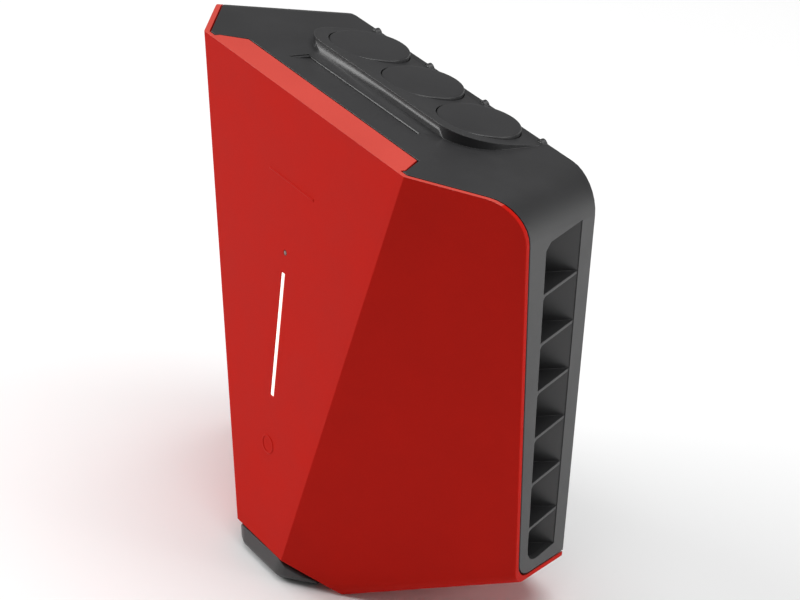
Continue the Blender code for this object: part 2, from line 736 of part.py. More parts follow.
def make_cooling(chip_face):
    """Thermal pad, heat sink, fan and its rotor, stacked towards the front."""
    gap = FIT_GAP
    pad_rear = chip_face - gap
    pad_front = pad_rear - 1 * MM
    pad = box_mesh((-40 * MM, pad_front, COOL_Z - 28 * MM), (40 * MM, pad_rear, COOL_Z + 28 * MM))
    add_object("thermal_pad", pad, PAD)
    base_rear = pad_front - gap
    base_front = base_rear - SINK_BASE
    tip = base_front - FIN_H
    half = SINK.x / 2
    pitch = (SINK.x - FIN_T) / (SINK_FINS - 1)
    comb = [(half, base_rear), (-half, base_rear)]
    for number in range(SINK_FINS):
        left = -half + number * pitch
        comb += [(left, base_front), (left, tip), (left + FIN_T, tip), (left + FIN_T, base_front)]
    comb = comb[:2] + comb[3:-1]
    low_z = COOL_Z - SINK.z / 2
    outline = [Vector((x, y, low_z)) for x, y in comb]
    add_object("heat_sink", prism_mesh(outline, Vector((0, 0, SINK.z))), ALUMINIUM)
    make_fan(tip - gap)


def make_fan(rear):
    front = rear - FAN_T
    half = FAN_SIZE / 2
    square = box_mesh((-half, front, COOL_Z - half), (half, rear, COOL_Z + half))
    frame = add_object("fan_frame", square, BLACK, smooth=True)
    tunnel = cylinder_mesh(FAN_R, (0, front - 0.01, COOL_Z), (0, rear + 0.01, COOL_Z), 40)
    cut(frame, add_object("fan_tunnel", tunnel))
    motor = cylinder_mesh(HUB_R - 1 * MM, (0, rear - 2.5 * MM, COOL_Z), (0, rear, COOL_Z), 24)
    join(frame, add_object("motor_mount", motor))
    for number in range(3):
        strut_tip = (1.5 * MM, rear - 0.2 * MM, FAN_R + 0.8 * MM)
        strut = box_mesh((-1.5 * MM, rear - 2 * MM, 4 * MM), strut_tip)
        turn = Matrix.Translation((0, 0, COOL_Z)) @ Matrix.Rotation(radians(120 * number), 4, "Y")
        bmesh.ops.transform(strut, matrix=turn, verts=strut.verts)
        join(frame, add_object(f"fan_strut_{number + 1}", strut))
    for number, (sx, sz) in enumerate(((-1, -1), (1, -1), (-1, 1), (1, 1)), 1):
        x, z = sx * 25 * MM, COOL_Z + sz * 25 * MM
        hole = cylinder_mesh(2.1 * MM, (x, front - 0.01, z), (x, rear + 0.01, z), 12)
        cut(frame, add_object(f"fan_hole_{number}", hole))
        place = (x, front - FAN_HEAD_T - FIT_GAP, z)
        make_screw(f"fan_screw_{number}", (3.2 * MM, FAN_HEAD_T, 1.6 * MM, 16 * MM), place, forward=True)
    make_rotor(front, rear)


def make_rotor(front, rear):
    """Hub and swept blades, with its origin on the fan's axis."""
    hub_front, hub_rear = front + 1 * MM, rear - 3 * MM
    middle = (hub_front + hub_rear) / 2
    depth = hub_rear - hub_front
    hub = cylinder_mesh(HUB_R, (0, -depth / 2, 0), (0, depth / 2, 0), 28)
    rotor = add_object("fan_rotor", hub, BLACK, smooth=True)
    rotor.location = (0, middle, COOL_Z)
    blade_out = FAN_R - 0.8 * MM
    for number in range(BLADES):
        tip = (8 * MM, 0.7 * MM, blade_out - 1.2 * MM)
        blade = box_mesh((-8 * MM, -0.7 * MM, HUB_R - 2 * MM), tip)
        pitch = Matrix.Rotation(radians(32), 4, "Z")
        turn = Matrix.Rotation(2 * pi * number / BLADES, 4, "Y")
        bmesh.ops.transform(blade, matrix=turn @ pitch, verts=blade.verts)
        tool = add_object(f"fan_blade_{number + 1}", blade)
        tool.location = rotor.location
        join(rotor, tool)


def make_lights():
    """Light bar, lens and the board behind them, all on the centre facet."""
    front, rear = centre_plane(0), centre_plane(LIGHT_DEPTH)
    behind = (rear[0], -rear[1])
    half = LIGHT_W / 2
    outside, inside = -120 * MM, -50 * MM
    bar = box_mesh((-half, outside, LIGHT_BOTTOM_Z), (half, inside, LIGHT_TOP_Z))
    lens = cylinder_mesh(LENS_R, (0, outside, LENS_Z), (0, inside, LENS_Z), 16)
    for name, bm in (("light_pipe", bar), ("status_lens", lens)):
        slice_off(bm, *front)
        slice_off(bm, *behind)
        add_object(name, bm, LIGHT)
    board_t = 1.2 * MM
    lean = atan2(-CENTRE_DIR.y, -CENTRE_DIR.z)
    middle_z = (LIGHT_TOP_Z + LIGHT_BOTTOM_Z) / 2 + 3 * MM
    board = box_mesh((-5 * MM, 0, -34 * MM), (5 * MM, board_t, 34 * MM))
    inwards = -centre_plane(0)[1]
    place = Vector((0, centre_y(middle_z), middle_z)) + inwards * (LIGHT_DEPTH + FIT_GAP)
    turn = Matrix.Translation(place) @ Matrix.Rotation(-lean, 4, "X")
    bmesh.ops.transform(board, matrix=turn, verts=board.verts)
    add_object("led_board", board, BOARD_GREEN)


def make_lead(number, index):
    """A lead from one socket down to the board's connector, on one smooth curve."""
    place = port_matrix(index)
    start = place @ Vector((0, 0, -24.5 * MM))
    first = place @ Vector((0, 0, -31 * MM))
    end = Vector((index * 14 * MM, BOARD_FRONT_Y - FIT_GAP - 4 * MM, CONNECTOR_Z + 4 * MM))
    last = end + Vector((0, 0, 9 * MM))
    curve = bpy.data.curves.new(f"lead_{number}", "CURVE")
    curve.dimensions = "3D"
    curve.bevel_depth = 1.5 * MM
    curve.bevel_resolution = 2
    curve.use_fill_caps = True
    spline = curve.splines.new("POLY")
    steps = 10
    spline.points.add(steps)
    for i in range(steps + 1):
        t = i / steps
        s = 1 - t
        point = start * s**3 + first * 3 * s * s * t + last * 3 * s * t * t + end * t**3
        spline.points[i].co = (*point, 1)
    curve.materials.append(RUBBER)
    lead = bpy.data.objects.new(f"lead_{number}", curve)
    lead.parent = ORIGIN
    PART.objects.link(lead)


make_cover()
make_housing()
make_chin()
make_grille(1, "right")
make_grille(-1, "left")
make_ports()
make_rear()
make_cooling(make_board())
make_lights()
for port, offset in enumerate((-1, 0, 1), 1):
    make_lead(port, offset)
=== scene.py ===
"""Storage unit: rounded shells, moulded finishes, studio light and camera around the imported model."""

import json
from math import cos, pi, radians, sin

import bmesh
import bpy
from mathutils import Matrix, Vector


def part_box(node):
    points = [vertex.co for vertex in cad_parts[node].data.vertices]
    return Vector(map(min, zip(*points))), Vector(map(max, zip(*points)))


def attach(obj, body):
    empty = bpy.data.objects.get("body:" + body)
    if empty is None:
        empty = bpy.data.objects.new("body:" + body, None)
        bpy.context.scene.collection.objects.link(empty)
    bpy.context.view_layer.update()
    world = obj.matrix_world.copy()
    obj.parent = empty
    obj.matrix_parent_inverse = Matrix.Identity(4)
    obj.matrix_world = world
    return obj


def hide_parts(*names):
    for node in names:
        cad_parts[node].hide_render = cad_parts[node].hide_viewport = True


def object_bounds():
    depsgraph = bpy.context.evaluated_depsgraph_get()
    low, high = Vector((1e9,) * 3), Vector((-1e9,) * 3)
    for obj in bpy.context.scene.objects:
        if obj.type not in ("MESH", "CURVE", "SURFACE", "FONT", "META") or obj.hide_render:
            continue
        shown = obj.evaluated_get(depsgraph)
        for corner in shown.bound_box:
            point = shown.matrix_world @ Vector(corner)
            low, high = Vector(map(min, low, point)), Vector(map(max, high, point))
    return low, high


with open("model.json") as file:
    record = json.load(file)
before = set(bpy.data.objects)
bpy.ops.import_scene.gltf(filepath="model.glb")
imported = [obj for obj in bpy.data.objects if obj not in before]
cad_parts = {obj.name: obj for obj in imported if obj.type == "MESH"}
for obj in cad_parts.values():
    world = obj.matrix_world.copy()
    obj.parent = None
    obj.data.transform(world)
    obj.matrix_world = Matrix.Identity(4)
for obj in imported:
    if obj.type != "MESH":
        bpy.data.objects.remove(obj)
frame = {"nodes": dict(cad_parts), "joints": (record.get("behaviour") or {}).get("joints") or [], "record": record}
CAD_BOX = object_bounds()
NODES = frame["nodes"]
MM = 0.001
SLOT_OF = {row["node"]: row["material_slot"] for row in frame["record"]["subparts"]}
BODY_OF = {node: body for body, nodes in frame["record"]["behaviour"]["bodies"].items() for node in nodes}
JOINT_OF = {joint["child"]: joint for joint in frame["joints"]}

# Camera
CAMERA_POS = Vector((0.70023, -0.50414, 0.51708))
CAMERA_AXES = ((0.55462, 0.83179, 0.02307), (-0.43946, 0.26925, 0.85696), (0.70660, -0.48542, 0.51486))
CAMERA_LENS = 121.0

# Edge rounding, in metres
RIDGE_R = 0.9 * MM
SKIRT_R = 5.0 * MM
CORNER_R = 6.0 * MM
SEAM_R = 0.35 * MM
SIDE_RIM_R = 1.0 * MM
CHIN_R = 3.0 * MM
DECK_CHAMFER = 2.2 * MM
FRONT_R = 1.2 * MM
REAR_R = 0.8 * MM
SHADER_BEVEL = 0.35 * MM

# Mesh cleaning
CAD_WELD = 0.002 * MM
BEVEL_WELD = 0.0001 * MM
FLAT_ANGLE = radians(0.7)

# Edge tests: limits on a face normal's parts, then on an edge's place and length
FRONT_Y = -0.7
FACET_X = 0.5
FLANK_X = 0.4
SLOPE_X = 0.3
DOWN_Z = -0.85
UNDER_Z = -0.5
BACK_Y = 0.2
UPRIGHT_Z = 0.2
DECK_Y = 0.17
DECK_Z = 0.94
STEEP_Z = 0.75
TAB_Z = 0.9
SHORT_EDGE = 2 * MM
CHIN_FOOT_H = 6 * MM
FRONT_ZONE_Y = -20 * MM
FRONT_ZONE_X = 40 * MM
FRONT_ZONE_TOP = 98 * MM
REAR_ZONE_Y = -0.5 * MM
REAR_EDGE = 20 * MM

# Surface texture: noise scales per metre, the middle of a noise's range, and bump depths
CLOUD_SCALE = 42
SCUFF_SCALE = 260
METAL_SCALE = 900
METAL_CLOUD_SCALE = 120
WEAVE_SCALE = 1400
GLOW_SCALE = 55
MIDDLE = (0.3, 0.7)
PLASTIC_DEPTH = 0.06 * MM
METAL_DEPTH = 0.03 * MM
BOARD_DEPTH = 0.05 * MM
HARD_BUMP = 0.3


# Node-tree helpers


class Tree:
    """Builds a shader node tree with few words."""

    def __init__(self, name):
        self.material = bpy.data.materials.new(name)
        self.material.use_nodes = True
        self.nodes = self.material.node_tree.nodes
        self.links = self.material.node_tree.links
        self.nodes.clear()
        self.output = self.add("ShaderNodeOutputMaterial")
        self.shader = self.add("ShaderNodeBsdfPrincipled")
        self.join(self.shader, "BSDF", self.output, "Surface")
        self.place = self.add("ShaderNodeTexCoord")

    def add(self, kind, **values):
        node = self.nodes.new(kind)
        for key, value in values.items():
            if hasattr(node, key):
                setattr(node, key, value)
            else:
                node.inputs[key.replace("_", " ")].default_value = value
        return node

    def join(self, source, out, target, into):
        self.links.new(source.outputs[out], target.inputs[into])

    def set(self, **values):
        for key, value in values.items():
            self.shader.inputs[key.replace("_", " ")].default_value = value

    def noise(self, scale, detail=4.0, rough=0.5, stretch=None):
        node = self.add("ShaderNodeTexNoise", Scale=scale, Detail=detail, Roughness=rough)
        if stretch:
            mapping = self.add("ShaderNodeMapping")
            mapping.inputs["Scale"].default_value = stretch
            self.join(self.place, "Object", mapping, "Vector")
            self.join(mapping, "Vector", node, "Vector")
        else:
            self.join(self.place, "Object", node, "Vector")
        return node

    def ramp(self, source, out, low, high, from_low=0.0, from_high=1.0):
        node = self.add("ShaderNodeMapRange")
        node.inputs["From Min"].default_value = from_low
        node.inputs["From Max"].default_value = from_high
        node.inputs["To Min"].default_value = low
        node.inputs["To Max"].default_value = high
        self.join(source, out, node, "Value")
        return node

    def mix(self, factor, out, first, second):
        node = self.add("ShaderNodeMix", data_type="RGBA")
        self.links.new(factor.outputs[out], node.inputs[0])
        for socket, value in ((6, first), (7, second)):
            if isinstance(value, bpy.types.Node):
                self.links.new(value.outputs[2], node.inputs[socket])
            else:
                node.inputs[socket].default_value = (*value, 1)
        return node

    def edge_mask(self, radius):
        """0 on flats, rising to 1 where the surface turns within the radius; also the rounded normal."""
        bevel = self.add("ShaderNodeBevel", samples=6)
        bevel.inputs["Radius"].default_value = radius
        geometry = self.add("ShaderNodeNewGeometry")
        dot = self.add("ShaderNodeVectorMath", operation="DOT_PRODUCT")
        self.join(bevel, "Normal", dot, 0)
        self.join(geometry, "Normal", dot, 1)
        return self.ramp(dot, "Value", 1.0, 0.0, 0.80, 0.995), bevel


def shade(colour, factor):
    return tuple(min(1.0, c * factor) for c in colour)


def moulded(name, colour, roughness, grain=0.25, grain_scale=3200, ior=1.5, edge=1.5, spread=0.09,
            specular=0.5):
    """Injection-moulded plastic: fine spark texture, faint cloudiness, and rounded edges painted lighter by the
    factor edge, a painted highlight broken up by scuff wear.
    """
    tree = Tree(name)
    tree.set(IOR=ior, Specular_IOR_Level=specular)
    cloud = tree.noise(CLOUD_SCALE, 5, 0.6)
    fine = tree.noise(grain_scale, 3, 0.65)
    mask, bevel = tree.edge_mask(SHADER_BEVEL)
    clouded = tree.mix(tree.ramp(cloud, "Fac", 0, 1, *MIDDLE), "Result",
                       shade(colour, 1 - spread), shade(colour, 1 + spread))
    speckled = tree.mix(tree.ramp(fine, "Fac", 0, 0.35, 0.35, 0.75), "Result", clouded, shade(colour, 1.35))
    scuff = tree.noise(SCUFF_SCALE, 4, 0.7)
    # Painted highlight on rounded edges, made patchy by the scuff noise as edge wear
    edge_highlight_and_wear = tree.add("ShaderNodeMath", operation="MULTIPLY")
    tree.join(mask, "Result", edge_highlight_and_wear, 0)
    tree.links.new(tree.ramp(scuff, "Fac", 0.15, 0.75, 0.35, 0.7).outputs["Result"], edge_highlight_and_wear.inputs[1])
    final = tree.mix(edge_highlight_and_wear, "Value", speckled, shade(colour, edge))
    tree.links.new(final.outputs[2], tree.shader.inputs["Base Color"])
    tree.join(tree.ramp(cloud, "Fac", roughness - 0.05, roughness + 0.06, *MIDDLE), "Result",
              tree.shader, "Roughness")
    bump = tree.add("ShaderNodeBump")
    bump.inputs["Strength"].default_value = grain
    bump.inputs["Distance"].default_value = PLASTIC_DEPTH
    tree.join(fine, "Fac", bump, "Height")
    tree.join(bevel, "Normal", bump, "Normal")
    tree.join(bump, "Normal", tree.shader, "Normal")
    return tree.material


def metal(name, colour, roughness, stretch=(1, 1, 1)):
    """Plated, turned or extruded metal with a directional grain."""
    tree = Tree(name)
    tree.set(Metallic=1.0)
    grain = tree.noise(METAL_SCALE, 5, 0.6, stretch)
    cloud = tree.noise(METAL_CLOUD_SCALE, 3, 0.5)
    mask, bevel = tree.edge_mask(SHADER_BEVEL * 0.6)
    tinted = tree.mix(tree.ramp(cloud, "Fac", 0, 1, *MIDDLE), "Result",
                      shade(colour, 0.86), shade(colour, 1.06))
    # Rounded edges are painted 1.2 times lighter: a painted highlight
    final = tree.mix(mask, "Result", tinted, shade(colour, 1.2))
    tree.links.new(final.outputs[2], tree.shader.inputs["Base Color"])
    tree.join(tree.ramp(grain, "Fac", roughness - 0.08, roughness + 0.12, *MIDDLE), "Result",
              tree.shader, "Roughness")
    bump = tree.add("ShaderNodeBump")
    bump.inputs["Strength"].default_value = HARD_BUMP
    bump.inputs["Distance"].default_value = METAL_DEPTH
    tree.join(grain, "Fac", bump, "Height")
    tree.join(bevel, "Normal", bump, "Normal")
    tree.join(bump, "Normal", tree.shader, "Normal")
    return tree.material


def laminate(name):
    """Circuit board: green resist with buried copper lanes."""
    tree = Tree(name)
    tree.set(IOR=1.55, Coat_Weight=0.3, Coat_Roughness=0.2)
    lanes = tree.add("ShaderNodeTexBrick")
    lanes.inputs["Scale"].default_value = 160
    lanes.inputs["Color1"].default_value = (0.010, 0.085, 0.030, 1)
    lanes.inputs["Color2"].default_value = (0.016, 0.125, 0.045, 1)
    lanes.inputs["Mortar"].default_value = (0.030, 0.190, 0.070, 1)
    lanes.inputs["Mortar Size"].default_value = 0.03
    swap = tree.add("ShaderNodeMapping")
    swap.inputs["Rotation"].default_value = (radians(90), 0, 0)
    tree.join(tree.place, "Object", swap, "Vector")
    tree.join(swap, "Vector", lanes, "Vector")
    tree.join(lanes, "Color", tree.shader, "Base Color")
    weave = tree.noise(WEAVE_SCALE, 3, 0.5)
    tree.join(tree.ramp(weave, "Fac", 0.32, 0.48, *MIDDLE), "Result", tree.shader, "Roughness")
    bump = tree.add("ShaderNodeBump")
    bump.inputs["Strength"].default_value = HARD_BUMP
    bump.inputs["Distance"].default_value = BOARD_DEPTH
    tree.join(lanes, "Fac", bump, "Height")
    tree.join(bump, "Normal", tree.shader, "Normal")
    return tree.material


def lit(name):
    """Frosted light guide, glowing warm white, a little uneven along its length."""
    tree = Tree(name)
    colour = (1.0, 0.93, 0.84)
    tree.set(Roughness=0.35, IOR=1.49)
    glow = tree.noise(GLOW_SCALE, 3, 0.5)
    tint = tree.mix(tree.ramp(glow, "Fac", 0, 1, *MIDDLE), "Result", shade(colour, 0.94), colour)
    tree.links.new(tint.outputs[2], tree.shader.inputs["Base Color"])
    tree.links.new(tint.outputs[2], tree.shader.inputs["Emission Color"])
    tree.shader.inputs["Emission Strength"].default_value = 0.75
    return tree.material


# edge= sets how much lighter rounded edges are painted: a painted highlight mixed with scuff wear, strongest on
# the charcoal housing's edge bands
FINISH = {
    "red_plastic": moulded("moulded_red", (0.49, 0.011, 0.006), 0.45, edge=1.12, spread=0.04,
                           specular=0.03),
    "dark_plastic": moulded("moulded_charcoal", (0.027, 0.027, 0.028), 0.40, grain=0.35, edge=2.6,
                            ior=1.52),
    "seal_rubber": moulded("moulded_rubber", (0.018, 0.018, 0.019), 0.72, grain=0.5, grain_scale=1500),
    "light_plastic": lit("frosted_light_guide"),
    "board_laminate": laminate("board_resist"),
    "chip_epoxy": moulded("moulded_epoxy", (0.028, 0.028, 0.030), 0.5, grain=0.5, grain_scale=2200),
    "thermal_silicone": moulded("gap_pad", (0.42, 0.47, 0.58), 0.8, grain=0.6, grain_scale=1100, edge=1.1),
    "aluminium": metal("extruded_aluminium", (0.74, 0.75, 0.77), 0.34, (1, 0.08, 1)),
    "zinc_steel": metal("plated_steel", (0.60, 0.60, 0.58), 0.32),
    "brass": metal("turned_brass", (0.74, 0.53, 0.24), 0.28, (1, 0.2, 1)),
    "connector_plastic": moulded("connector_nylon", (0.74, 0.72, 0.62), 0.5, edge=1.1),
}

# The tab's band is glossier than the rest of the cover and has a lighter, paler red, a painted highlight on its
# up-facing faces; the status lens is unlit
SATIN_RED_PAINTED_HIGHLIGHT = moulded("satin_red_painted_highlight", (0.58, 0.055, 0.038), 0.35, edge=1.1, spread=0.03, specular=0.6)
SMOKED = moulded("smoked_lens", (0.20, 0.10, 0.09), 0.15, grain=0.02, edge=1.0, spread=0.02)


# Pieces


def dress(piece, finish):
    piece.data.materials.clear()
    piece.data.materials.append(finish)


def new_piece(name, bm, body, slot, *replaced, smooth_angle=30):
    """Links a mesh as a piece with its slot's finish, riding on the body."""
    mesh = bpy.data.meshes.new(name)
    bm.to_mesh(mesh)
    bm.free()
    piece = bpy.data.objects.new(name, mesh)
    bpy.context.scene.collection.objects.link(piece)
    dress(piece, FINISH[slot])
    mesh.shade_smooth()
    mesh.set_sharp_from_angle(angle=radians(smooth_angle))
    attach(piece, body)
    if replaced:
        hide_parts(*replaced)
    return piece


def outward(face, centre):
    ray = (face.calc_center_median() - centre).normalized()
    return face.normal.dot(ray)


def solid_of(node):
    """The CAD node's surface with whole flat faces instead of triangles."""
    bm = bmesh.new()
    bm.from_mesh(NODES[node].data)
    bmesh.ops.remove_doubles(bm, verts=bm.verts, dist=CAD_WELD)
    bmesh.ops.dissolve_limit(bm, angle_limit=FLAT_ANGLE, verts=bm.verts, edges=bm.edges)
    bm.normal_update()
    return bm


def bent(edge, least=12):
    return len(edge.link_faces) == 2 and abs(edge.calc_face_angle_signed(0)) > radians(least)


def convex(edge):
    return edge.calc_face_angle_signed(0) > 0


def carved(bm, cutters):
    """Subtracts each box, given by its lowest and highest corner, from the mesh."""
    for low, high in cutters:
        tool = bmesh.new()
        bmesh.ops.create_cube(tool, size=1)
        low, high = Vector(low) * MM, Vector(high) * MM
        bmesh.ops.scale(tool, vec=high - low, verts=tool.verts)
        bmesh.ops.translate(tool, vec=(low + high) / 2, verts=tool.verts)
        made = []
        for name, source in (("carve_body", bm), ("carve_tool", tool)):
            mesh = bpy.data.meshes.new(name)
            source.to_mesh(mesh)
            made.append(bpy.data.objects.new(name, mesh))
            bpy.context.scene.collection.objects.link(made[-1])
        cutter = made[0].modifiers.new("carve", "BOOLEAN")
        cutter.operation, cutter.solver, cutter.object = "DIFFERENCE", "EXACT", made[1]
        result = made[0].evaluated_get(bpy.context.evaluated_depsgraph_get()).to_mesh()
        bm.clear()
        bm.from_mesh(result)
        tool.free()
        for thing in made:
            mesh = thing.data
            bpy.data.objects.remove(thing)
            bpy.data.meshes.remove(mesh)
    bm.normal_update()
    return bm


def refined(node, name, rules, slots=()):
    """Cuts the slots, rounds the CAD node's edges one rule after another, and replaces it.

    A rule is a test for an edge, the rounding's width, its number of segments, and whether
    short neighbouring edges limit it.
    """
    bm = carved(solid_of(node), slots)
    for wanted, width, segments, limited in rules:
        edges = [edge for edge in bm.edges if bent(edge) and wanted(edge)]
        bmesh.ops.bevel(bm, geom=edges, offset=width, offset_type="OFFSET", segments=segments,
                        profile=0.5, affect="EDGES", clamp_overlap=limited)
        bmesh.ops.remove_doubles(bm, verts=bm.verts, dist=BEVEL_WELD)
        bm.normal_update()
    piece = new_piece(name, bm, BODY_OF[node], SLOT_OF[node], node)
    weighted = piece.modifiers.new("flat_faces", "WEIGHTED_NORMAL")
    weighted.keep_sharp = True
    weighted.weight = 80
    return piece


def normals_of(edge):
    """The normals of an edge's two faces, the one that points lower first."""
    return sorted((face.normal for face in edge.link_faces), key=lambda normal: normal.z)


def middle_of(edge):
    return (edge.verts[0].co + edge.verts[1].co) / 2


def is_outer(edge, least=0.25):
    return convex(edge) and all(outward(face, Vector((0, 0, 0))) > least for face in edge.link_faces)


def lower_corner(edge, sense=1):
    """The long edge where a side facet meets the sloping underside; sense is -1 inside a shell."""
    first, second = sorted((normal * sense for normal in normals_of(edge)), key=lambda normal: normal.z)
    return first.z < DOWN_Z and abs(first.x) > SLOPE_X and second.y < FRONT_Y and abs(second.x) > FACET_X


def outer_lower_corner(edge):
    return convex(edge) and lower_corner(edge)


def inner_lower_corner(edge):
    return not convex(edge) and lower_corner(edge, -1)


def front_ridge(edge):
    first, second = normals_of(edge)
    return is_outer(edge) and ((first.y < FRONT_Y and second.y < FRONT_Y) or first.z < UNDER_Z)


def side_rim(edge):
    """Where a side facet turns into the shell's side or its rounded top corner."""
    front = [normal for normal in normals_of(edge) if normal.y < FRONT_Y and abs(normal.x) > FACET_X]
    back = [normal for normal in normals_of(edge) if normal.y > BACK_Y and abs(normal.x) > FLANK_X]
    return bool(is_outer(edge) and front and back)


def other_rim(edge):
    return is_outer(edge) and not side_rim(edge) and edge.calc_length() > SHORT_EDGE


def chin_foot(edge):
    return convex(edge) and middle_of(edge).z < CAD_BOX[0].z + CHIN_FOOT_H


def deck_rim(edge):
    """The raised deck's edge: its flat top against its steep wall."""
    top = any(normal.z > DECK_Z and normal.y > DECK_Y for normal in normals_of(edge))
    wall = any(normal.z < STEEP_Z for normal in normals_of(edge))
    return convex(edge) and top and wall and middle_of(edge).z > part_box("port_plug_2")[0].z


def housing_front(edge):
    """The housing's front perimeter, where it faces the cover's rim."""
    front = [normal for normal in normals_of(edge) if normal.y < FRONT_Y and abs(normal.z) < UPRIGHT_Z]
    return bool(is_outer(edge, 0.0) and front and middle_of(edge).y < FRONT_ZONE_Y
                and abs(middle_of(edge).x) > FRONT_ZONE_X and middle_of(edge).z < FRONT_ZONE_TOP)


def housing_rear(edge):
    """The housing's long edges round its rear face."""
    return is_outer(edge, -0.1) and middle_of(edge).y > REAR_ZONE_Y and edge.calc_length() > REAR_EDGE


for node, piece in NODES.items():
    dress(piece, FINISH[SLOT_OF[node]])

# Vent grilles: a slanted baffle behind each window, with thin fins

VENT_FRONT = ((-23.2 * MM, -60.9 * MM), (-28.0 * MM, 76.7 * MM))
VENT_REAR = ((-6.6 * MM, -60.9 * MM), (-7.6 * MM, 76.7 * MM))
SIDE_AT_ZERO = 78.778 * MM
SIDE_SPREAD = 0.3657
SIDE_LEAN = 0.0372
WALL = 2.4 * MM
BAFFLE_DEPTH = 17.5 * MM
BAFFLE_T = 1.4 * MM
FIN_T = 1.2 * MM
FIN_TOP_Z = 56.5 * MM
FIN_PITCH = 20.1 * MM
FINS = 6
GUSSET = 1.8 * MM
GUSSET_DEPTH = 6 * MM
GUSSET_STEPS = 4
GUSSET_EDGE = 0.02 * MM
OVERLAP = 1 * MM
CLEAR = 0.1 * MM
RIM_GAP = 0.05 * MM
FLUSH = 0.25 * MM
SET_BACK = 0.5 * MM
SOFT_R = 0.12 * MM


def side_x(y, z):
    return SIDE_AT_ZERO - SIDE_SPREAD * y + SIDE_LEAN * z


def edge_y(edge, z):
    (foot_y, foot_z), (head_y, head_z) = edge
    return foot_y + (head_y - foot_y) * (z - foot_z) / (head_z - foot_z)


def add_slab(bm, lower, upper):
    """A closed block between two rings with the same number of corners."""
    low = [bm.verts.new(point) for point in lower]
    high = [bm.verts.new(point) for point in upper]
    bm.faces.new(low)
    bm.faces.new(high)
    for i in range(len(low)):
        j = (i + 1) % len(low)
        bm.faces.new((low[i], low[j], high[j], high[i]))


def grille(side, word):
    """Baffle, front wall, fins and their fillets for the window on one side (1 right, -1 left)."""
    bm = bmesh.new()
    low, high = VENT_FRONT[0][1], VENT_FRONT[1][1]

    def corners(z):
        rear, front = edge_y(VENT_REAR, z) - RIM_GAP, edge_y(VENT_FRONT, z) + RIM_GAP
        return ((side_x(rear, z) - FLUSH, rear), (side_x(front, z) - FLUSH, front),
                (side_x(front, z) - BAFFLE_DEPTH, front))

    def ring(points, z):
        return [Vector((side * x, y, z)) for x, y in points]

    def baffle(z):
        (rear_x, rear_y), _, (deep_x, deep_y) = corners(z)
        deep = (deep_x - SET_BACK, deep_y - OVERLAP)
        return ring([(rear_x, rear_y), deep, (deep[0] - BAFFLE_T, deep[1]), (rear_x - BAFFLE_T, rear_y)], z)

    def front_wall(z):
        _, (front_x, front_y), (deep_x, deep_y) = corners(z)
        start, end = front_x - WALL - CLEAR, deep_x - OVERLAP
        return ring([(start, front_y - CLEAR), (end, deep_y - CLEAR),
                     (end, deep_y - OVERLAP), (start, front_y - OVERLAP)], z)

    def fin(z):
        (rear_x, rear_y), (front_x, front_y), (deep_x, deep_y) = corners(z)
        return ring([(rear_x, rear_y), (front_x, front_y), (deep_x - SET_BACK, deep_y),
                     (rear_x - SET_BACK, rear_y)], z)

    def gusset(z, reach):
        _, (front_x, front_y), _ = corners(z)
        reach_x = front_x - SIDE_SPREAD * reach
        return ring([(front_x, front_y), (reach_x, front_y + reach),
                     (reach_x - GUSSET_DEPTH, front_y + reach), (front_x - GUSSET_DEPTH, front_y)], z)

    add_slab(bm, baffle(low - OVERLAP), baffle(high + OVERLAP))
    add_slab(bm, front_wall(low - OVERLAP), front_wall(high + OVERLAP))
    for number in range(FINS):
        top = FIN_TOP_Z - FIN_PITCH * number
        add_slab(bm, fin(top - FIN_T), fin(top))
        for i in range(GUSSET_STEPS):
            start, end = i / GUSSET_STEPS * pi / 2, (i + 1) / GUSSET_STEPS * pi / 2
            upper = top - FIN_T - GUSSET * (1 - cos(start))
            lower = top - FIN_T - GUSSET * (1 - cos(end))
            wide = GUSSET * (1 - sin(start)) + GUSSET_EDGE
            thin = GUSSET * (1 - sin(end)) + GUSSET_EDGE
            add_slab(bm, gusset(lower, thin), gusset(upper, wide))
    for z, step in ((high, 1), (low, -1)):
        ends = fin(z + step * CLEAR), fin(z + step * OVERLAP)
        add_slab(bm, *sorted(ends, key=lambda points: points[0].z))
    bmesh.ops.recalc_face_normals(bm, faces=bm.faces)
    piece = new_piece(f"grille_{word}", bm, "unit", "dark_plastic", f"vent_grille_{word}")
    softened = piece.modifiers.new("softened", "BEVEL")
    softened.limit_method = "ANGLE"
    softened.angle_limit = radians(40)
    softened.width = SOFT_R
    softened.segments = 2


# Plugs: turned caps with a crisp rim. Profiles are (radius, height) in millimetres

PLUG_R = 15.0
PLUG_RIM = 0.55
PLUG_CROWN = ((0, 0.30), (5, 0.27), (9.5, 0.17), (12.8, 0.06))
PLUG_BACK = ((PLUG_R, -3.5), (10.9, -3.5), (10.9, -8.4), (10.5, -8.8), (9.5, -8.8), (9.5, -2.3), (0, -2.3))
TURNED_SEGMENTS = 96


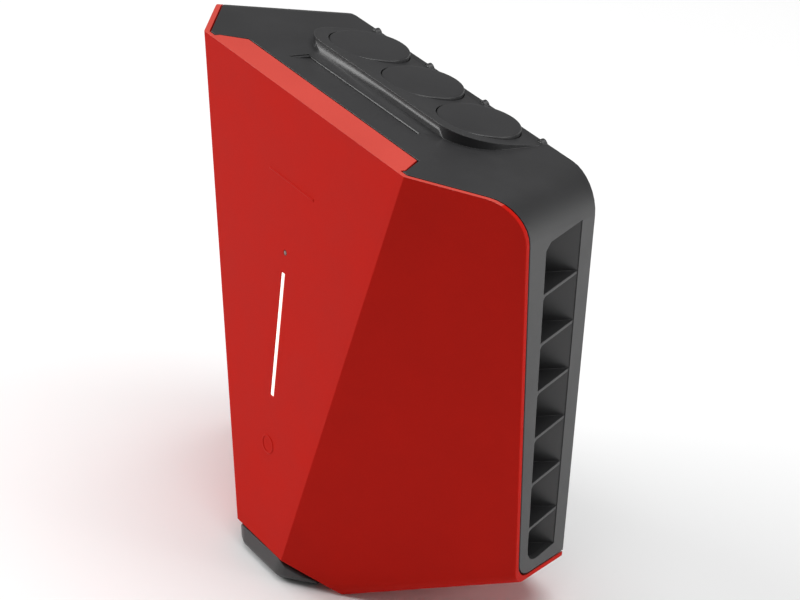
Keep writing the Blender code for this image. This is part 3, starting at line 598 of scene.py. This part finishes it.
def turned(name, profile, joint, body, slot, replaced):
    """Spins a closed (radius, height) profile about the joint's axis."""
    bm = bmesh.new()
    axis = Vector(joint["axis"]).normalized()
    place = Matrix.Translation(Vector(joint["pos_m"])) @ axis.to_track_quat("Z", "Y").to_matrix().to_4x4()
    rings = []
    for radius, height in profile:
        if radius == 0:
            rings.append([bm.verts.new(place @ Vector((0, 0, height)))])
            continue
        turns = [2 * pi * i / TURNED_SEGMENTS for i in range(TURNED_SEGMENTS)]
        rings.append([bm.verts.new(place @ Vector((radius * cos(turn), radius * sin(turn), height)))
                      for turn in turns])
    for first, second in zip(rings, rings[1:]):
        for i in range(TURNED_SEGMENTS):
            j = (i + 1) % TURNED_SEGMENTS
            if len(first) == 1:
                bm.faces.new((first[0], second[i], second[j]))
            elif len(second) == 1:
                bm.faces.new((first[i], second[0], first[j]))
            else:
                bm.faces.new((first[i], second[i], second[j], first[j]))
    bmesh.ops.recalc_face_normals(bm, faces=bm.faces)
    return new_piece(name, bm, body, slot, replaced, smooth_angle=28)


def quarter(centre_r, centre_h, radius, start, steps=4):
    """Points of a quarter turn in the profile plane, going from the angle start down by 90 degrees."""
    return [(centre_r + radius * cos(radians(start - 90 * i / steps)),
             centre_h + radius * sin(radians(start - 90 * i / steps))) for i in range(steps + 1)]


def plug(number):
    joint = JOINT_OF[f"plug_{number}"]
    rim = quarter(PLUG_R - PLUG_RIM, -PLUG_RIM, PLUG_RIM, 90)
    profile = [(radius * MM, height * MM) for radius, height in (*PLUG_CROWN, *rim, *PLUG_BACK)]
    turned(f"plug_cap_{number}", profile, joint, f"plug_{number}", "dark_plastic", f"port_plug_{number}")


# The thin slot in front of the deck and its short leg, as the low and high corners of boxes in
# millimetres. The housing's inner roof is at 93.1, so the floor at 94.2 leaves 1.1 of wall.
TAB_SLOTS = (((-37.0, -40.9, 94.2), (33.5, -40.0, 110.0)), ((-37.0, -48.5, 94.2), (-36.1, -40.0, 110.0)))
refined("front_cover", "cover_shell", [
    (outer_lower_corner, SKIRT_R, 7, False), (inner_lower_corner, CORNER_R, 7, False),
    (front_ridge, RIDGE_R, 3, True), (side_rim, SIDE_RIM_R, 3, True), (other_rim, SEAM_R, 2, True)])
cover = bpy.data.objects["cover_shell"]
cover.data.materials.append(SATIN_RED_PAINTED_HIGHLIGHT)
# Faces pointing up take the lighter satin red: a painted highlight from above
for face in cover.data.polygons:
    if face.normal.z > TAB_Z:
        face.material_index = 1
dress(NODES["status_lens"], SMOKED)
refined("chin_cap", "chin_shell", [(chin_foot, CHIN_R, 5, True), (convex, SEAM_R, 2, True)])
refined("housing", "housing_shell", [
    (deck_rim, DECK_CHAMFER, 1, True), (outer_lower_corner, CORNER_R, 7, False),
    (housing_front, FRONT_R, 3, True), (housing_rear, REAR_R, 2, True)], TAB_SLOTS)
for side, word in ((1, "right"), (-1, "left")):
    grille(side, word)
for number in (1, 2, 3):
    plug(number)


# Plain raised marks on the cover: a ring and a slim bar

FRONT_POINT = Vector((0, -67.3 * MM, 100.6 * MM))
FRONT_DIR = Vector((0, -16.9, -179.7)).normalized()
FRONT_OUT = Vector((0, FRONT_DIR.z, -FRONT_DIR.y))
RING_Z = -36.8 * MM
RING_R = 3.4 * MM
BAR_Z = 69.0 * MM
BAR_HALF = 14.5 * MM
BAR_R = 0.55 * MM
RING_BEAD = 0.45 * MM
RING_POINTS = 48
BAR_STEPS = 16
BEAD_RISE = 0.45


def on_front(x, z, lift):
    """A point on the centre facet at x and z, raised off it."""
    along = (z - FRONT_POINT.z) / FRONT_DIR.z
    return Vector((x, 0, 0)) + FRONT_POINT + FRONT_DIR * along + FRONT_OUT * lift


def raised_sweep(name, path, radius, closed, sides=10):
    """A low rounded bead along a path on the centre facet."""
    bm = bmesh.new()
    rings = []
    count = len(path)
    for i, point in enumerate(path):
        before = path[i - 1 if closed or i else 0]
        after = path[(i + 1) % count if closed or i + 1 < count else i]
        across = (after - before).normalized().cross(FRONT_OUT)
        rings.append([bm.verts.new(point + across * radius * cos(2 * pi * k / sides)
                                   + FRONT_OUT * radius * BEAD_RISE * sin(2 * pi * k / sides))
                      for k in range(sides)])
    pairs = list(zip(rings, rings[1:])) + ([(rings[-1], rings[0])] if closed else [])
    for first, second in pairs:
        for k in range(sides):
            n = (k + 1) % sides
            bm.faces.new((first[k], first[n], second[n], second[k]))
    if not closed:
        bm.faces.new(rings[0])
        bm.faces.new(rings[-1])
    bmesh.ops.recalc_face_normals(bm, faces=bm.faces)
    new_piece(name, bm, "cover", "red_plastic", smooth_angle=50)


ring_centre = on_front(0, RING_Z, 0)
ring_turns = [2 * pi * i / RING_POINTS for i in range(RING_POINTS)]
ring_path = [ring_centre + Vector((RING_R * cos(turn), 0, 0)) - FRONT_DIR * RING_R * sin(turn)
             for turn in ring_turns]
raised_sweep("cover_ring_mark", ring_path, RING_BEAD, True)
raised_sweep("cover_bar_mark", [on_front(BAR_HALF * (2 * i / BAR_STEPS - 1), BAR_Z, 0)
                                for i in range(BAR_STEPS + 1)], BAR_R, False)


# Studio

FLOOR_HALF = 30
FLOOR_DROP = 0.4 * MM
WORLD_LIGHT = 0.14
# Each lamp's place, the point it faces, the side of its square and its watts
LAMPS = {
    "key": ((-1.5, -1.15, 1.05), (0, -0.05, 0), 1.2, 32),
    "overhead": ((0.1, 0.2, 1.8), (0, -0.02, 0), 1.6, 30),
    "back_right": ((1.2, 1.0, 0.45), (0.08, 0, 0), 0.9, 9),
}


def area_light(name, place, target, side, power):
    light = bpy.data.lights.new(name, "AREA")
    light.shape = "RECTANGLE"
    light.size = light.size_y = side
    light.energy = power
    lamp = bpy.data.objects.new(name, light)
    lamp.location = place
    lamp.rotation_mode = "QUATERNION"
    lamp.rotation_quaternion = (Vector(target) - Vector(place)).to_track_quat("-Z", "Y")
    bpy.context.scene.collection.objects.link(lamp)


def make_floor():
    bm = bmesh.new()
    bmesh.ops.create_grid(bm, x_segments=1, y_segments=1, size=FLOOR_HALF)
    mesh = bpy.data.meshes.new("floor")
    bm.to_mesh(mesh)
    bm.free()
    floor = bpy.data.objects.new("floor", mesh)
    floor.location.z = CAD_BOX[0].z - FLOOR_DROP
    bpy.context.scene.collection.objects.link(floor)
    tree = Tree("pale_floor")
    tree.set(Base_Color=(0.9, 0.9, 0.9, 1), Roughness=0.6)
    dress(floor, tree.material)


def make_camera():
    lens = bpy.data.cameras.new("camera")
    lens.lens = CAMERA_LENS
    lens.sensor_width = 36
    lens.clip_start = 0.01
    camera = bpy.data.objects.new("camera", lens)
    camera.matrix_world = Matrix.Translation(CAMERA_POS) @ Matrix(CAMERA_AXES).transposed().to_4x4()
    bpy.context.scene.collection.objects.link(camera)
    bpy.context.scene.camera = camera


world = bpy.data.worlds.new("studio")
world.use_nodes = True
world.node_tree.nodes["Background"].inputs["Color"].default_value = (1, 1, 1, 1)
world.node_tree.nodes["Background"].inputs["Strength"].default_value = WORLD_LIGHT
bpy.context.scene.world = world
bpy.context.scene.view_settings.view_transform = "Standard"
make_floor()
make_camera()
for name, settings in LAMPS.items():
    area_light(name, *settings)
